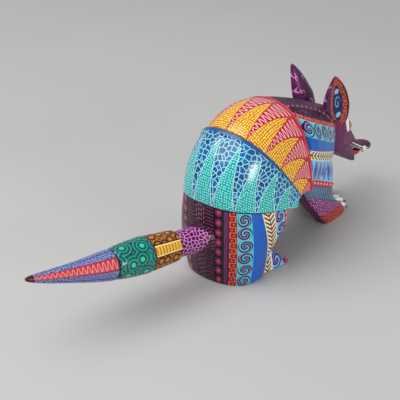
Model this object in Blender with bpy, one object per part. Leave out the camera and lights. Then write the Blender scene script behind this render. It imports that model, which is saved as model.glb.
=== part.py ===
"""Painted wooden armadillo, carved in the alebrije style.

Head towards -Y, tail towards +Y, +Z up.  Lengths below are millimetres in the
carver's frame (rump bottom at Y = 0, ground at Z = 0); everything is moved at
the end so that the bounding box stands centred on the origin.
"""
import math

import bmesh
import bpy
import numpy as np
from mathutils import Matrix, Vector

for old in list(bpy.data.objects):
    bpy.data.objects.remove(old, do_unlink=True)

MM = 0.001
GAP = 0.3                         # clearance between neighbouring pieces

# --- carapace: arches in planes that all pass through one hinge line ---------
HINGE_Y, HINGE_Z = -55.8, 41.8
#            angle, reach, half width, squareness
ARCH_REAR = (11.6, 60.5, 34.3, 2.70)
ARCH_SEAM = (53.9, 65.8, 33.7, 2.50)
ARCH_FRONT = (95.5, 59.2, 36.4, 2.23)
ARCH_END = 10.0                   # arches stop this far from the hinge line
SHELL_THICK = 5.0
RIM_RAISE = 0.7                   # raised painted rim of each shell

# --- rump and hind legs ------------------------------------------------------
RUMP_HALF_W = (25.0, 32.0)        # at the ground, under the shell
RUMP_REAR_Y = (0.0, 3.2)
RUMP_FRONT_Y = (-30.5, -48.5)
RUMP_SQUARE = (2.25, 5.0)         # rear and front of the plan
RUMP_INSET = 0.4                  # step under the shell
HIND_FOOT_Y = -51.0               # toe
HIND_FOOT_FLARE = 3.2             # the toe points this far outwards
HIND_FOOT_X = (12.0, 24.5)        # inner and outer side
HIND_FOOT_H = 15.0
BELLY_Z = 35.0

# --- neck and forelegs: Y, half width, bottom Z, top Z ----------------------
NECK = [(-56.1, 33.0, 44.0, 97.0), (-66.0, 32.4, 41.0, 97.4), (-76.0, 30.0, 39.5, 95.4),
        (-87.0, 26.6, 38.5, 92.0), (-98.0, 22.4, 38.5, 88.0), (-106.0, 18.8, 41.0, 84.0),
        (-109.0, 15.5, 45.0, 80.0)]
NECK_SQUARE = 2.9
# foreleg: Z, rear Y, front Y, inner X, outer rear X, outer front X
LEG = [(0.0, -105.0, -126.5, 6.5, 16.6, 16.0), (1.5, -104.0, -128.6, 6.0, 17.4, 16.8),
       (7.0, -98.5, -126.8, 6.0, 18.4, 17.4), (13.0, -92.5, -118.8, 6.2, 19.2, 18.0),
       (19.0, -86.8, -112.4, 6.6, 20.0, 18.2), (25.0, -80.8, -110.0, 7.2, 21.2, 18.8),
       (33.0, -73.5, -108.6, 8.4, 23.4, 19.2), (42.0, -65.5, -108.0, 10.0, 26.0, 19.0),
       (50.0, -62.5, -107.0, 12.0, 26.5, 17.6)]
LEFT_LEG_STEP = -14.0             # the left forefoot stands further forward

# --- tail ---------------------------------------------------------------------
TAIL_ROOT = (4.9, 23.5, 32.6)     # where the loose tail meets its stub
TAIL_SWING, TAIL_RISE = 10.0, 5.3
TAIL_BEND = 6.5                   # the tip curls up by this much beyond the straight part
TAIL_STRAIGHT, TAIL_BENT = 45.0, 56.0
PEG_R, PEG_IN, PEG_OUT = 3.5, 16.0, 52.0    # the peg's reach into the body and into the tail


# ------------------------------------------------------------------ helpers --
def material(name, rgb, rough=0.35, metal=0.0):
    mat = bpy.data.materials.new(name)
    mat.use_nodes = True
    bsdf = mat.node_tree.nodes["Principled BSDF"]
    lin = [c / 12.92 if c <= 0.04045 else ((c + 0.055) / 1.055) ** 2.4 for c in rgb]
    bsdf.inputs["Base Color"].default_value = (*lin, 1.0)
    bsdf.inputs["Roughness"].default_value = rough
    bsdf.inputs["Metallic"].default_value = metal
    mat.diffuse_color = (*lin, 1.0)
    return mat


def obj_from_bm(name, bm, mat, smooth_angle=38.0):
    bmesh.ops.remove_doubles(bm, verts=bm.verts, dist=1e-4)
    bmesh.ops.recalc_face_normals(bm, faces=bm.faces)
    mesh = bpy.data.meshes.new(name)
    bm.to_mesh(mesh)
    bm.free()
    mesh.transform(Matrix.Scale(MM, 4))
    ob = bpy.data.objects.new(name, mesh)
    bpy.context.scene.collection.objects.link(ob)
    if mat:
        mesh.materials.append(mat)
    for poly in mesh.polygons:
        poly.use_smooth = True
    mesh.set_sharp_from_angle(angle=math.radians(smooth_angle))
    return ob


def loft(rings):
    """Closed bmesh through rings of equal length, ends filled by fans."""
    bm = bmesh.new()
    rows = [[bm.verts.new(p) for p in ring] for ring in rings]
    n = len(rows[0])
    for a, b in zip(rows, rows[1:]):
        for i in range(n):
            j = (i + 1) % n
            bm.faces.new((a[i], a[j], b[j], b[i]))
    for row in (rows[0], rows[-1]):
        mid = sum((v.co for v in row), Vector()) / n
        c = bm.verts.new(mid)
        for i in range(n):
            bm.faces.new((row[i], row[(i + 1) % n], c))
    return bm


def sup(angle, a, b, n):
    """Point of a superellipse at a parameter angle in radians."""
    c, s = math.cos(angle), math.sin(angle)
    return (a * math.copysign(abs(c) ** (2 / n), c), b * math.copysign(abs(s) ** (2 / n), s))


def union(base, others):
    for other in others:
        mod = base.modifiers.new("join", "BOOLEAN")
        mod.operation, mod.solver, mod.object = "UNION", "EXACT", other
        bpy.context.view_layer.objects.active = base
        bpy.ops.object.modifier_apply(modifier=mod.name)
        bpy.data.objects.remove(other, do_unlink=True)
    return base


def cut(base, others):
    for other in others:
        mod = base.modifiers.new("cut", "BOOLEAN")
        mod.operation, mod.solver, mod.object = "DIFFERENCE", "EXACT", other
        bpy.context.view_layer.objects.active = base
        bpy.ops.object.modifier_apply(modifier=mod.name)
        bpy.data.objects.remove(other, do_unlink=True)
    return base


# ---------------------------------------------------------------- carapace ---
def arch(phi):
    """Reach, half width and squareness of the arch at a plane angle."""
    p = (ARCH_REAR[0], ARCH_SEAM[0], ARCH_FRONT[0])
    w = ((phi - p[1]) * (phi - p[2]) / ((p[0] - p[1]) * (p[0] - p[2])),
         (phi - p[0]) * (phi - p[2]) / ((p[1] - p[0]) * (p[1] - p[2])),
         (phi - p[0]) * (phi - p[1]) / ((p[2] - p[0]) * (p[2] - p[1])))
    rows = (ARCH_REAR, ARCH_SEAM, ARCH_FRONT)
    return [sum(w[k] * rows[k][i] for k in range(3)) for i in (1, 2, 3)]


def dome(phi, t, inset=0.0):
    """Point of the carapace: t runs -1..1 across the arch, +1 on the left side."""
    reach, half, n = arch(phi)
    reach, half = reach - inset, half - inset
    end = math.acos((ARCH_END / reach) ** (n / 2))
    x, r = sup(math.pi / 2 - t * end, half, reach, n)
    a = math.radians(phi)
    return Vector((x, HINGE_Y + r * math.cos(a), HINGE_Z + r * math.sin(a)))


def shell(name, phi0, phi1, rows, mat, cols=40, rim=(0.0, 0.0)):
    """Curved plate between two plane angles, with a raised rim at either end."""
    phis = [phi0 + (phi1 - phi0) * k / rows for k in range(rows + 1)]
    steps = [(p, rim[0] if k == 0 else rim[1] if k == rows else 0.0) for k, p in enumerate(phis)]
    if rim[0]:
        steps[1:1] = [(phi0 + 3.0, rim[0]), (phi0 + 3.3, 0.0)]
    if rim[1]:
        steps[-1:-1] = [(phi1 - 3.3, 0.0), (phi1 - 3.0, rim[1])]
    steps = [s for i, s in enumerate(steps) if i == 0 or s[0] > steps[i - 1][0]]
    ts = [-1 + 2 * k / cols for k in range(cols + 1)]
    rings = []
    for phi, up in steps:
        rings.append([dome(phi, t, -up) for t in ts] + [dome(phi, t, SHELL_THICK) for t in reversed(ts)])
    bm = bmesh.new()
    rows_v = [[bm.verts.new(p) for p in ring] for ring in rings]
    n = len(rows_v[0])
    for a, b in zip(rows_v, rows_v[1:]):
        for i in range(n):
            j = (i + 1) % n
            bm.faces.new((a[i], a[j], b[j], b[i]))
    half = cols + 1
    for row in (rows_v[0], rows_v[-1]):
        for i in range(cols):
            bm.faces.new((row[i], row[i + 1], row[n - 2 - i], row[n - 1 - i]))
    return obj_from_bm(name, bm, mat)


# ------------------------------------------------------------------- torso ---
def rump_ring(level, half_w, rear, front, count=44):
    """Plan outline, laid at a level between the ground (0) and the shell (1)."""
    pts = []
    mid = rear - 18.0
    for k in range(count):
        turn = 2 * math.pi * k / count
        back = math.sin(turn) >= 0
        x, y = sup(turn, half_w, rear - mid if back else mid - front, RUMP_SQUARE[0 if back else 1])
        y += mid
        # under the shell the flanks draw in so that they stay just inside its edge
        reach = (y - HINGE_Y) / (ARCH_REAR[1] * math.cos(math.radians(ARCH_REAR[0])))
        reach = min(0.999, max(0.0, reach))
        edge = ARCH_REAR[2] * (1 - reach ** ARCH_REAR[3]) ** (1 / ARCH_REAR[3]) - RUMP_INSET
        x += (math.copysign(min(abs(x), edge), x) - x) * level ** 1.5
        top = HINGE_Z + (y - HINGE_Y) * math.tan(math.radians(ARCH_REAR[0])) - GAP
        pts.append(Vector((x, y, top * level)))
    return pts


def box_loft(sections, count=24, n=4.0, flare=0.0):
    """Loft up Z through rounded rectangles (z, x0, x1, y0, y1); flare swings the front outwards."""
    rings = []
    for z, x0, x1, y0, y1 in sections:
        ring = []
        for k in range(count):
            x, y = sup(2 * math.pi * k / count, (x1 - x0) / 2, (y1 - y0) / 2, n)
            y += (y0 + y1) / 2
            ring.append(Vector(((x0 + x1) / 2 + x + flare * max(0.0, (-27.0 - y) / 22.0), y, z)))
        rings.append(ring)
    return loft(rings)


def tail_frame():
    a, b = math.radians(TAIL_SWING), math.radians(TAIL_RISE)
    axis = Vector((math.sin(a) * math.cos(b), math.cos(a) * math.cos(b), math.sin(b)))
    side = axis.cross(Vector((0, 0, 1))).normalized()
    return Vector(TAIL_ROOT), axis, side, side.cross(axis)


def tail_ring(s, r, count, bend):
    root, axis, side, up = tail_frame()
    lift = bend * (max(0.0, s - TAIL_STRAIGHT) / TAIL_BENT) ** 1.5
    return [root + axis * s + side * (math.cos(a) * r) + up * (math.sin(a) * r + lift)
            for a in (2 * math.pi * k / count for k in range(count))]


def tail_solid(stations, count=32):
    return loft([tail_ring(s, r, count, TAIL_BEND) for s, r in stations])


def rod(start, end, r=PEG_R, count=20):
    """Straight rod along the tail's axis, for the peg and the holes it sits in."""
    return loft([tail_ring(s, r, count, 0.0) for s in (start, end)])


def build_torso(mat):
    core = []
    inset = SHELL_THICK + GAP
    cols = 28
    for phi in (7.0, 16.0, 28.0, 40.0, 52.0, 64.0, 76.0, 86.0, ARCH_FRONT[0] - 0.3):
        arc = [dome(phi, -1 + 2 * k / cols, inset) for k in range(cols + 1)]
        a = math.radians(phi)
        foot = Vector((0, 0.8 * math.cos(a), 0.8 * math.sin(a)))
        core.append(arc + [Vector((x, HINGE_Y, HINGE_Z)) + foot for x in (27.0, -27.0)])
    torso = obj_from_bm("torso", loft(core), mat)

    rump = []
    for k, f in enumerate((0.0, 0.024, 0.2, 0.38, 0.56, 0.74, 0.88, 1.0)):
        ease = math.sin(f * math.pi / 2)
        shrink = 1.0 if k == 0 else 0.0
        half = RUMP_HALF_W[0] + (RUMP_HALF_W[1] - RUMP_HALF_W[0]) * ease - shrink
        rear = RUMP_REAR_Y[0] + (RUMP_REAR_Y[1] - RUMP_REAR_Y[0]) * ease - shrink
        swell = min(1.0, max(0.0, (f - 0.3) / 0.4))
        swell = swell * swell * (3 - 2 * swell)
        front = RUMP_FRONT_Y[0] + (RUMP_FRONT_Y[1] - RUMP_FRONT_Y[0]) * swell + shrink
        rump.append(rump_ring(f, half, rear, front))
    parts = [obj_from_bm("rump", loft(rump), None)]
    belly = box_loft([(BELLY_Z, -20.0, 20.0, -55.4, -20.0), (BELLY_Z + 2.0, -24.0, 24.0, -55.6, -20.0),
                      (43.0, -27.0, 27.0, -55.8, -20.0), (52.0, -25.0, 25.0, -54.0, -20.0)])
    parts.append(obj_from_bm("belly", belly, None))
    for side in (-1, 1):
        x0, x1 = sorted((side * HIND_FOOT_X[0], side * HIND_FOOT_X[1]))
        y = HIND_FOOT_Y
        foot = box_loft([(0.2, x0 + 1, x1 - 1, y + 1.0, -17.0), (1.4, x0, x1, y, -17.0),
                         (5.0, x0, x1, y + 4.0, -17.0), (9.0, x0 + .6, x1 - .2, y + 9.0, -17.0),
                         (13.0, x0 + 1.5, x1 - .4, y + 14.0, -17.0),
                         (HIND_FOOT_H + 3.0, x0 + 2, x1 - 1, y + 21.0, -18.0)], flare=side * HIND_FOOT_FLARE)
        parts.append(obj_from_bm("foot", foot, None))
    stub = tail_solid([(-34.0, 11.0), (-21.5, 10.0), (-14.0, 8.6), (-6.0, 8.0), (-GAP, 7.8)])
    parts.append(obj_from_bm("stub", stub, None))
    union(torso, parts)
    cut(torso, [obj_from_bm("bore", rod(-PEG_IN - 1.0, 2.0, r=PEG_R + GAP), None)])
    return torso


# ------------------------------------------------------------ neck and legs --
def build_forequarters(mat):
    rings = []
    for y, half, z0, z1 in NECK:
        ring = []
        lean = max(0.0, (y + 72.0) / 16.0) * math.tan(math.radians(ARCH_FRONT[0] - 90.0))
        for k in range(36):
            x, z = sup(2 * math.pi * k / 36, half, (z1 - z0) / 2, NECK_SQUARE)
            z += (z0 + z1) / 2
            ring.append(Vector((x, y - (z - HINGE_Z) * lean, z)))
        rings.append(ring)
    front = obj_from_bm("forequarters", loft(rings), mat)
    legs = []
    for side in (-1, 1):
        step = LEFT_LEG_STEP if side > 0 else 0.0
        rings = []
        for z, rear, fore, inner, out_r, out_f in LEG:
            f = max(0.0, 1 - z / 42.0)
            rear, fore = rear + step * f, fore + step * f
            ring = []
            for k in range(24):
                u, v = sup(2 * math.pi * k / 24, 0.5, 0.5, 4.5)
                outer = out_r + (out_f - out_r) * (0.5 - v)
                x = inner + (outer - inner) * (0.5 + u)
                ring.append(Vector((side * x, fore + (rear - fore) * (0.5 + v), z)))
            rings.append(ring)
        legs.append(obj_from_bm("leg", loft(rings), None))
    return union(front, legs)


# --------------------------------------------------------------------- head --
SKULL = [(-109.3, 79.5, 50.0, 14.6), (-113.0, 81.0, 48.0, 16.2), (-120.0, 77.8, 46.0, 16.2),
         (-128.0, 71.2, 45.5, 14.6), (-135.0, 63.6, 45.5, 12.8), (-141.0, 56.4, 44.0, 11.2),
         (-147.0, 49.6, 40.6, 9.2), (-153.0, 43.8, 37.0, 7.4), (-159.0, 39.8, 33.6, 6.4),
         (-165.0, 37.2, 30.6, 5.9), (-171.0, 35.4, 28.4, 5.4), (-175.5, 33.8, 27.6, 4.2),
         (-177.6, 32.2, 28.4, 2.4)]
JAW = [(-110.0, 60.0, 49.6, 12.6), (-118.0, 57.0, 46.4, 14.8), (-126.0, 55.0, 42.0, 14.4),
       (-134.0, 52.0, 37.4, 12.8), (-140.0, 47.6, 33.8, 11.2), (-146.0, 40.4, 30.4, 8.9),
       (-151.0, 33.8, 27.6, 6.6), (-155.0, 28.9, 25.4, 4.2), (-156.8, 27.0, 25.2, 2.0)]
EAR_ROOM = 0.9                    # clearance behind an ear, so that it lifts out freely
EYE_AT, EYE_R = Vector((10.3, -128.8, 63.6)), 5.1
TOOTH_AT, TOOTH_R = Vector((5.6, -163.8, 32.4)), Vector((1.8, 1.9, 2.9))
TONGUE = [(-143.0, 39.6, 5.4, 3.0), (-149.0, 34.8, 5.6, 3.2), (-154.0, 32.6, 5.5, 2.6),
          (-159.0, 31.3, 4.8, 1.7), (-162.0, 30.6, 3.3, 1.2), (-166.0, 29.7, 2.0, 0.6)]
EAR_BASE, EAR_TIP = Vector((14.4, -116.6, 67.0)), Vector((17.6, -104.2, 107.0))
#       along, width, depth of the rounded back
EAR = [(0.0, 8.0, 6.0), (0.08, 13.0, 9.2), (0.2, 17.0, 10.0), (0.36, 18.8, 10.0), (0.55, 17.2, 8.2),
       (0.75, 12.6, 5.8), (0.89, 7.2, 3.6), (0.97, 3.4, 2.2), (1.0, 1.4, 1.2)]
CLAWS = [((15.2, -117.5, 9.4), (16.0, -130.5, 3.2)), ((11.8, -116.5, 11.8), (12.2, -134.5, 4.6)),
         ((8.4, -117.0, 11.6), (8.4, -135.5, 5.4))]


def section_loft(rows, count=24, square=2.35, grow=0.0):
    rings = []
    for y, top, bottom, half in rows:
        ring = []
        for k in range(count):
            x, z = sup(2 * math.pi * k / count, half + grow, (top - bottom) / 2 + grow, square)
            ring.append(Vector((x, y, (top + bottom) / 2 + z)))
        rings.append(ring)
    return loft(rings)


def ellipsoid(name, at, radii, mat, seg=20, rings=12):
    bm = bmesh.new()
    bmesh.ops.create_uvsphere(bm, u_segments=seg, v_segments=rings, radius=1.0)
    bmesh.ops.scale(bm, vec=radii, verts=bm.verts)
    bmesh.ops.translate(bm, vec=at, verts=bm.verts)
    return obj_from_bm(name, bm, mat, 60)


def tongue(name, mat, grow=0.0):
    rows = [(y, z + t + grow, z - t - grow, w + grow) for y, z, w, t in TONGUE]
    return obj_from_bm(name, section_loft(rows, 20, 2.6), mat)


def ear(name, side, mat, grow=0.0):
    base, tip = EAR_BASE.copy(), EAR_TIP.copy()
    base.x *= side
    tip.x *= side
    along = (tip - base).normalized()
    wide = Vector((side * 0.25, -0.96, -0.08))
    wide = (wide - along * wide.dot(along)).normalized()
    face = along.cross(wide) * side
    if face.x * side < 0:
        face = -face
    rings = []
    for s, width, depth in EAR:
        mid = base + (tip - base) * s
        if s == 0.0:
            mid -= along * grow
        ring = []
        half, back = width / 2 + grow, depth + grow
        hollow = min(1.3, 0.12 * width) * (0 if grow else 1)
        for k in range(14):                       # rounded back
            a = math.pi * k / 13
            ring.append(mid + wide * (half * math.cos(a)) - face * (back * max(0.0, math.sin(a)) ** 0.8))
        for k in range(1, 8):                     # dished front
            u = -1 + 2 * k / 8
            ring.append(mid + wide * (half * u) + face * (grow - hollow * (1 - u * u)))
        rings.append(ring)
    return obj_from_bm(name, loft(rings), mat)


def horn(name, a, b, mat, grow=0.0, count=12):
    a, b = Vector(a), Vector(b)
    axis = (b - a).normalized()
    side = axis.cross(Vector((0, 0, 1))).normalized()
    up = side.cross(axis)
    rings = []
    for f, r in ((0.0, 1.3), (0.12, 1.55), (0.4, 1.55), (0.7, 1.25), (0.9, 0.8), (1.0, 0.4)):
        mid = a + (b - a) * f + up * (1.6 * math.sin(math.pi * f)) - axis * (grow if f == 0 else 0)
        rings.append([mid + (side * math.cos(t) + up * math.sin(t)) * (r + grow)
                      for t in (2 * math.pi * k / count for k in range(count))])
    return obj_from_bm(name, loft(rings), mat, 50)


def build_head(mat):
    head = obj_from_bm("head", section_loft(SKULL, 32), mat)
    union(head, [obj_from_bm("jaw", section_loft(JAW, 32), None)])
    tools = [tongue("cut", None, GAP)]
    for side in (-1, 1):
        flip = Vector((side, 1, 1))
        tools.append(ellipsoid("cut", EYE_AT * flip, Vector((1, 1, 1)) * (EYE_R + GAP), None))
        tools.append(ellipsoid("cut", TOOTH_AT * flip, TOOTH_R + Vector((1, 1, 1)) * GAP, None, 14, 10))
        tools.append(ear("cut", side, None, GAP))
    return cut(head, tools)


# ----------------------------------------------------------------- assembly --
def build():
    purple = (0.30, 0.12, 0.30)
    paint = {
        "torso": (0.26, 0.10, 0.22), "forequarters": (0.36, 0.22, 0.42), "head": (0.36, 0.14, 0.33),
        "rear_shell": (0.05, 0.62, 0.66), "front_shell": (0.86, 0.42, 0.14), "ear": purple,
        "tongue": (0.80, 0.12, 0.10), "white": (0.93, 0.92, 0.90), "ochre": (0.72, 0.48, 0.10),
        "teal": (0.06, 0.58, 0.50), "spike": (0.45, 0.40, 0.66), "peg": (0.78, 0.62, 0.42)}
    made = [build_torso(material("paint_torso", paint["torso"]))]
    made.append(shell("rear_shell", ARCH_REAR[0], ARCH_SEAM[0] - 0.15, 10,
                      material("paint_rear_shell", paint["rear_shell"], 0.25), rim=(0.0, RIM_RAISE)))
    made.append(shell("front_shell", ARCH_SEAM[0] + 0.15, ARCH_FRONT[0] - 0.2, 10,
                      material("paint_front_shell", paint["front_shell"], 0.25), rim=(0.0, RIM_RAISE)))
    fore = build_forequarters(material("paint_forequarters", paint["forequarters"]))
    tools = []
    for side, label in ((-1, "right"), (1, "left")):
        step = LEFT_LEG_STEP if side > 0 else 0.0
        mat = material("paint_claws_" + label, paint["white"], 0.3)
        for k, (a, b) in enumerate(CLAWS):
            a = (side * a[0], a[1] + step, a[2])
            b = (side * b[0], b[1] + step, b[2])
            made.append(horn("claw_%s_%d" % (label, k + 1), a, b, mat))
            tools.append(horn("cut", a, b, None, GAP))
        tools.append(ear("cut", side, None, EAR_ROOM))
    made.append(cut(fore, tools))
    made.append(build_head(material("paint_head", paint["head"])))
    made.append(tongue("tongue", material("paint_tongue", paint["tongue"])))
    for side, label in ((-1, "right"), (1, "left")):
        flip = Vector((side, 1, 1))
        made.append(ellipsoid("eye_" + label, EYE_AT * flip, Vector((1, 1, 1)) * EYE_R,
                              material("paint_eye_" + label, paint["white"], 0.15)))
        made.append(ellipsoid("tooth_" + label, TOOTH_AT * flip, TOOTH_R,
                              material("paint_tooth_" + label, paint["white"], 0.25), 14, 10))
        made.append(ear("ear_" + label, side, material("paint_ear_" + label, paint["ear"])))

    rings = {"tail_ring_ochre": ([(0.0, 8.6), (0.8, 9.4), (9.0, 10.1), (19.5, 10.7), (20.9, 10.2)], "ochre"),
             "tail_ring_teal": ([(21.2, 10.6), (22.2, 11.2), (30.0, 10.9), (38.0, 10.2), (43.8, 9.3),
                                 (44.6, 8.9)], "teal"),
             "tail_spike": ([(44.9, 8.5), (45.8, 9.3), (50.0, 9.0), (60.0, 7.6), (72.4, 5.8), (85.8, 4.0),
                             (95.8, 2.4), (99.6, 1.5), (101.0, 0.8)], "spike")}
    for name, (stations, colour) in rings.items():
        ob = obj_from_bm(name, tail_solid(stations), material("paint_" + name, paint[colour], 0.3))
        end = min(stations[-1][0] + 1.0, PEG_OUT + GAP)
        made.append(cut(ob, [obj_from_bm("cut", rod(stations[0][0] - 1.0, end, r=PEG_R + GAP), None)]))
    made.append(obj_from_bm("tail_peg", rod(-PEG_IN, PEG_OUT), material("bare_wood_peg", paint["peg"], 0.6)))
    return made


def settle(made):
    """Stand the bounding box centred on the origin, put origins on the axes."""
    pts = np.array([v.co[:] for ob in made for v in ob.data.vertices])
    lo, hi = pts.min(0), pts.max(0)
    shift = Vector((-(lo[0] + hi[0]) / 2, -(lo[1] + hi[1]) / 2, -lo[2]))
    root = tail_frame()[0] * MM
    for ob in made:
        ob.data.transform(Matrix.Translation(shift))
        side = -1 if ob.name.endswith("right") else 1
        origin = Vector((0, 0, 0))
        if ob.name.startswith("tail"):
            origin = root + shift
        elif ob.name.startswith("ear"):
            origin = Vector((side * EAR_BASE.x, EAR_BASE.y, EAR_BASE.z)) * MM + shift
        ob.data.transform(Matrix.Translation(-origin))
        ob.location = origin
    return shift


settle(build())
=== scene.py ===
"""Looks of a painted wooden armadillo in the alebrije style.

Shapes are worked out in millimetres in the carver's frame (rump bottom at Y = 0, ground
at Z = 0, head towards -Y) and moved onto the CAD frame by one shift along Y.  Each skin
carries two UV layers: "paint" (across and along a painted band) and "mm" (true sizes).
"""
import math
from contextlib import contextmanager
from math import cos, pi, radians, sin

import bmesh
import bpy
import numpy as np
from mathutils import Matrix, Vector


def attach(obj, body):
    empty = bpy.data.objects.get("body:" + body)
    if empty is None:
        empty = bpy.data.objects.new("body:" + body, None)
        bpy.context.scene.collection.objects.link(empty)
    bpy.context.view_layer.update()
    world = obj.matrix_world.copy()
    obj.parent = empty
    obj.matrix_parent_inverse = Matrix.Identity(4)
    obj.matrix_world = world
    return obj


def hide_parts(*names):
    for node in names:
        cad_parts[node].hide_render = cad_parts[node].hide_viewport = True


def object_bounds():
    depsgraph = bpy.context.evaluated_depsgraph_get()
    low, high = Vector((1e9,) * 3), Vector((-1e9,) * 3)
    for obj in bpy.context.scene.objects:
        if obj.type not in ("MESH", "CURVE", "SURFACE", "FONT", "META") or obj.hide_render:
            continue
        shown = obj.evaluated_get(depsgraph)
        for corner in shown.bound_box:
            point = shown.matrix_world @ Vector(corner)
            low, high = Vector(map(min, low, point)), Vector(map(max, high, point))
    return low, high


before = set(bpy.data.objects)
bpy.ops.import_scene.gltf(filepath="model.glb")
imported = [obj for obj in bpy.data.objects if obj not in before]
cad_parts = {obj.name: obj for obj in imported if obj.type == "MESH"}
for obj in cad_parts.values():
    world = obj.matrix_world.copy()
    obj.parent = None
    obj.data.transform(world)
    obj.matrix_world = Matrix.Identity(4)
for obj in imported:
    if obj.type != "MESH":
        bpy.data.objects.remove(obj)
CAD_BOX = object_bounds()
MM = 0.001
TAU = 2 * pi
GAP = 0.3
SNOUT_TIP = -177.6
SHIFT = Vector((0.0, CAD_BOX[0].y / MM - SNOUT_TIP, 0.0))

# --- colours ---
INK = (0.10, 0.03, 0.10)
BLACKISH = (0.07, 0.04, 0.07)
PLUM = (0.30, 0.10, 0.25)
DEEP_PLUM = (0.22, 0.06, 0.18)
SKIN = (0.38, 0.13, 0.32)
MAROON = (0.32, 0.05, 0.12)
ROSE = (0.78, 0.30, 0.42)
PINK = (0.86, 0.50, 0.78)
MAUVE = (0.62, 0.38, 0.66)
TURQUOISE = (0.01, 0.62, 0.62)
SEA = (0.36, 0.78, 0.80)
AQUA = (0.56, 0.96, 0.90)
BLUE = (0.05, 0.38, 0.74)
NAVY = (0.05, 0.14, 0.38)
SKY = (0.50, 0.76, 0.92)
ICE = (0.78, 0.92, 0.95)
INDIGO = (0.15, 0.08, 0.28)
GOLD = (0.82, 0.47, 0.02)
STRAW = (1.00, 0.94, 0.36)
CREAM = (0.95, 0.88, 0.70)
BROWN = (0.33, 0.15, 0.10)
RED = (0.72, 0.01, 0.07)
BLUSH = (0.98, 0.74, 0.78)
ORANGE = (0.88, 0.36, 0.24)
WHITE = (0.95, 0.94, 0.92)


def linear(rgb):
    return (*[c / 12.92 if c <= 0.04045 else ((c + 0.055) / 1.055) ** 2.4 for c in rgb], 1.0)


# --- shader maths ---
class Val:
    """A number in a node tree; arithmetic on it adds Math nodes."""

    def __init__(self, tree, sock):
        self.tree, self.sock = tree, sock

    def __add__(self, other):
        return op("ADD", self, other)

    def __sub__(self, other):
        return op("SUBTRACT", self, other)

    def __rsub__(self, other):
        return op("SUBTRACT", other, self)

    def __mul__(self, other):
        return op("MULTIPLY", self, other)

    def __truediv__(self, other):
        return op("DIVIDE", self, other)

    def __abs__(self):
        return op("ABSOLUTE", self)


def op(kind, *args, clamp=False):
    tree = next(a.tree for a in args if isinstance(a, Val))
    node = tree.nodes.new("ShaderNodeMath")
    node.operation, node.use_clamp = kind, clamp
    for sock, arg in zip(node.inputs, args):
        if isinstance(arg, Val):
            tree.links.new(arg.sock, sock)
        else:
            sock.default_value = arg
    return Val(tree, node.outputs[0])


def fract(x):
    return op("FRACT", x)


def floor(x):
    return op("FLOOR", x)


def hypot(x, y):
    return op("SQRT", x * x + y * y)


def below(x, edge, soft=0.06):
    """1 where x is under the edge, 0 above it, with a soft step."""
    return op("ADD", (edge - x) / soft, 0.5, clamp=True)


def above(x, edge, soft=0.06):
    """1 where x is over the edge, 0 under it, with a soft step."""
    return op("ADD", (x - edge) / soft, 0.5, clamp=True)


def near(x, at, half, soft=0.06):
    """1 within half of the place, 0 away from it."""
    return below(abs(x - at), half, soft)


def either(a, b):
    return op("MAXIMUM", a, b)


def beat(x, pitch):
    """Runs -0.5..0.5 over each pitch."""
    return fract(x / pitch) - 0.5


def dial(node, values):
    for key, value in values.items():
        node.inputs[key].default_value = value


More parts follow.
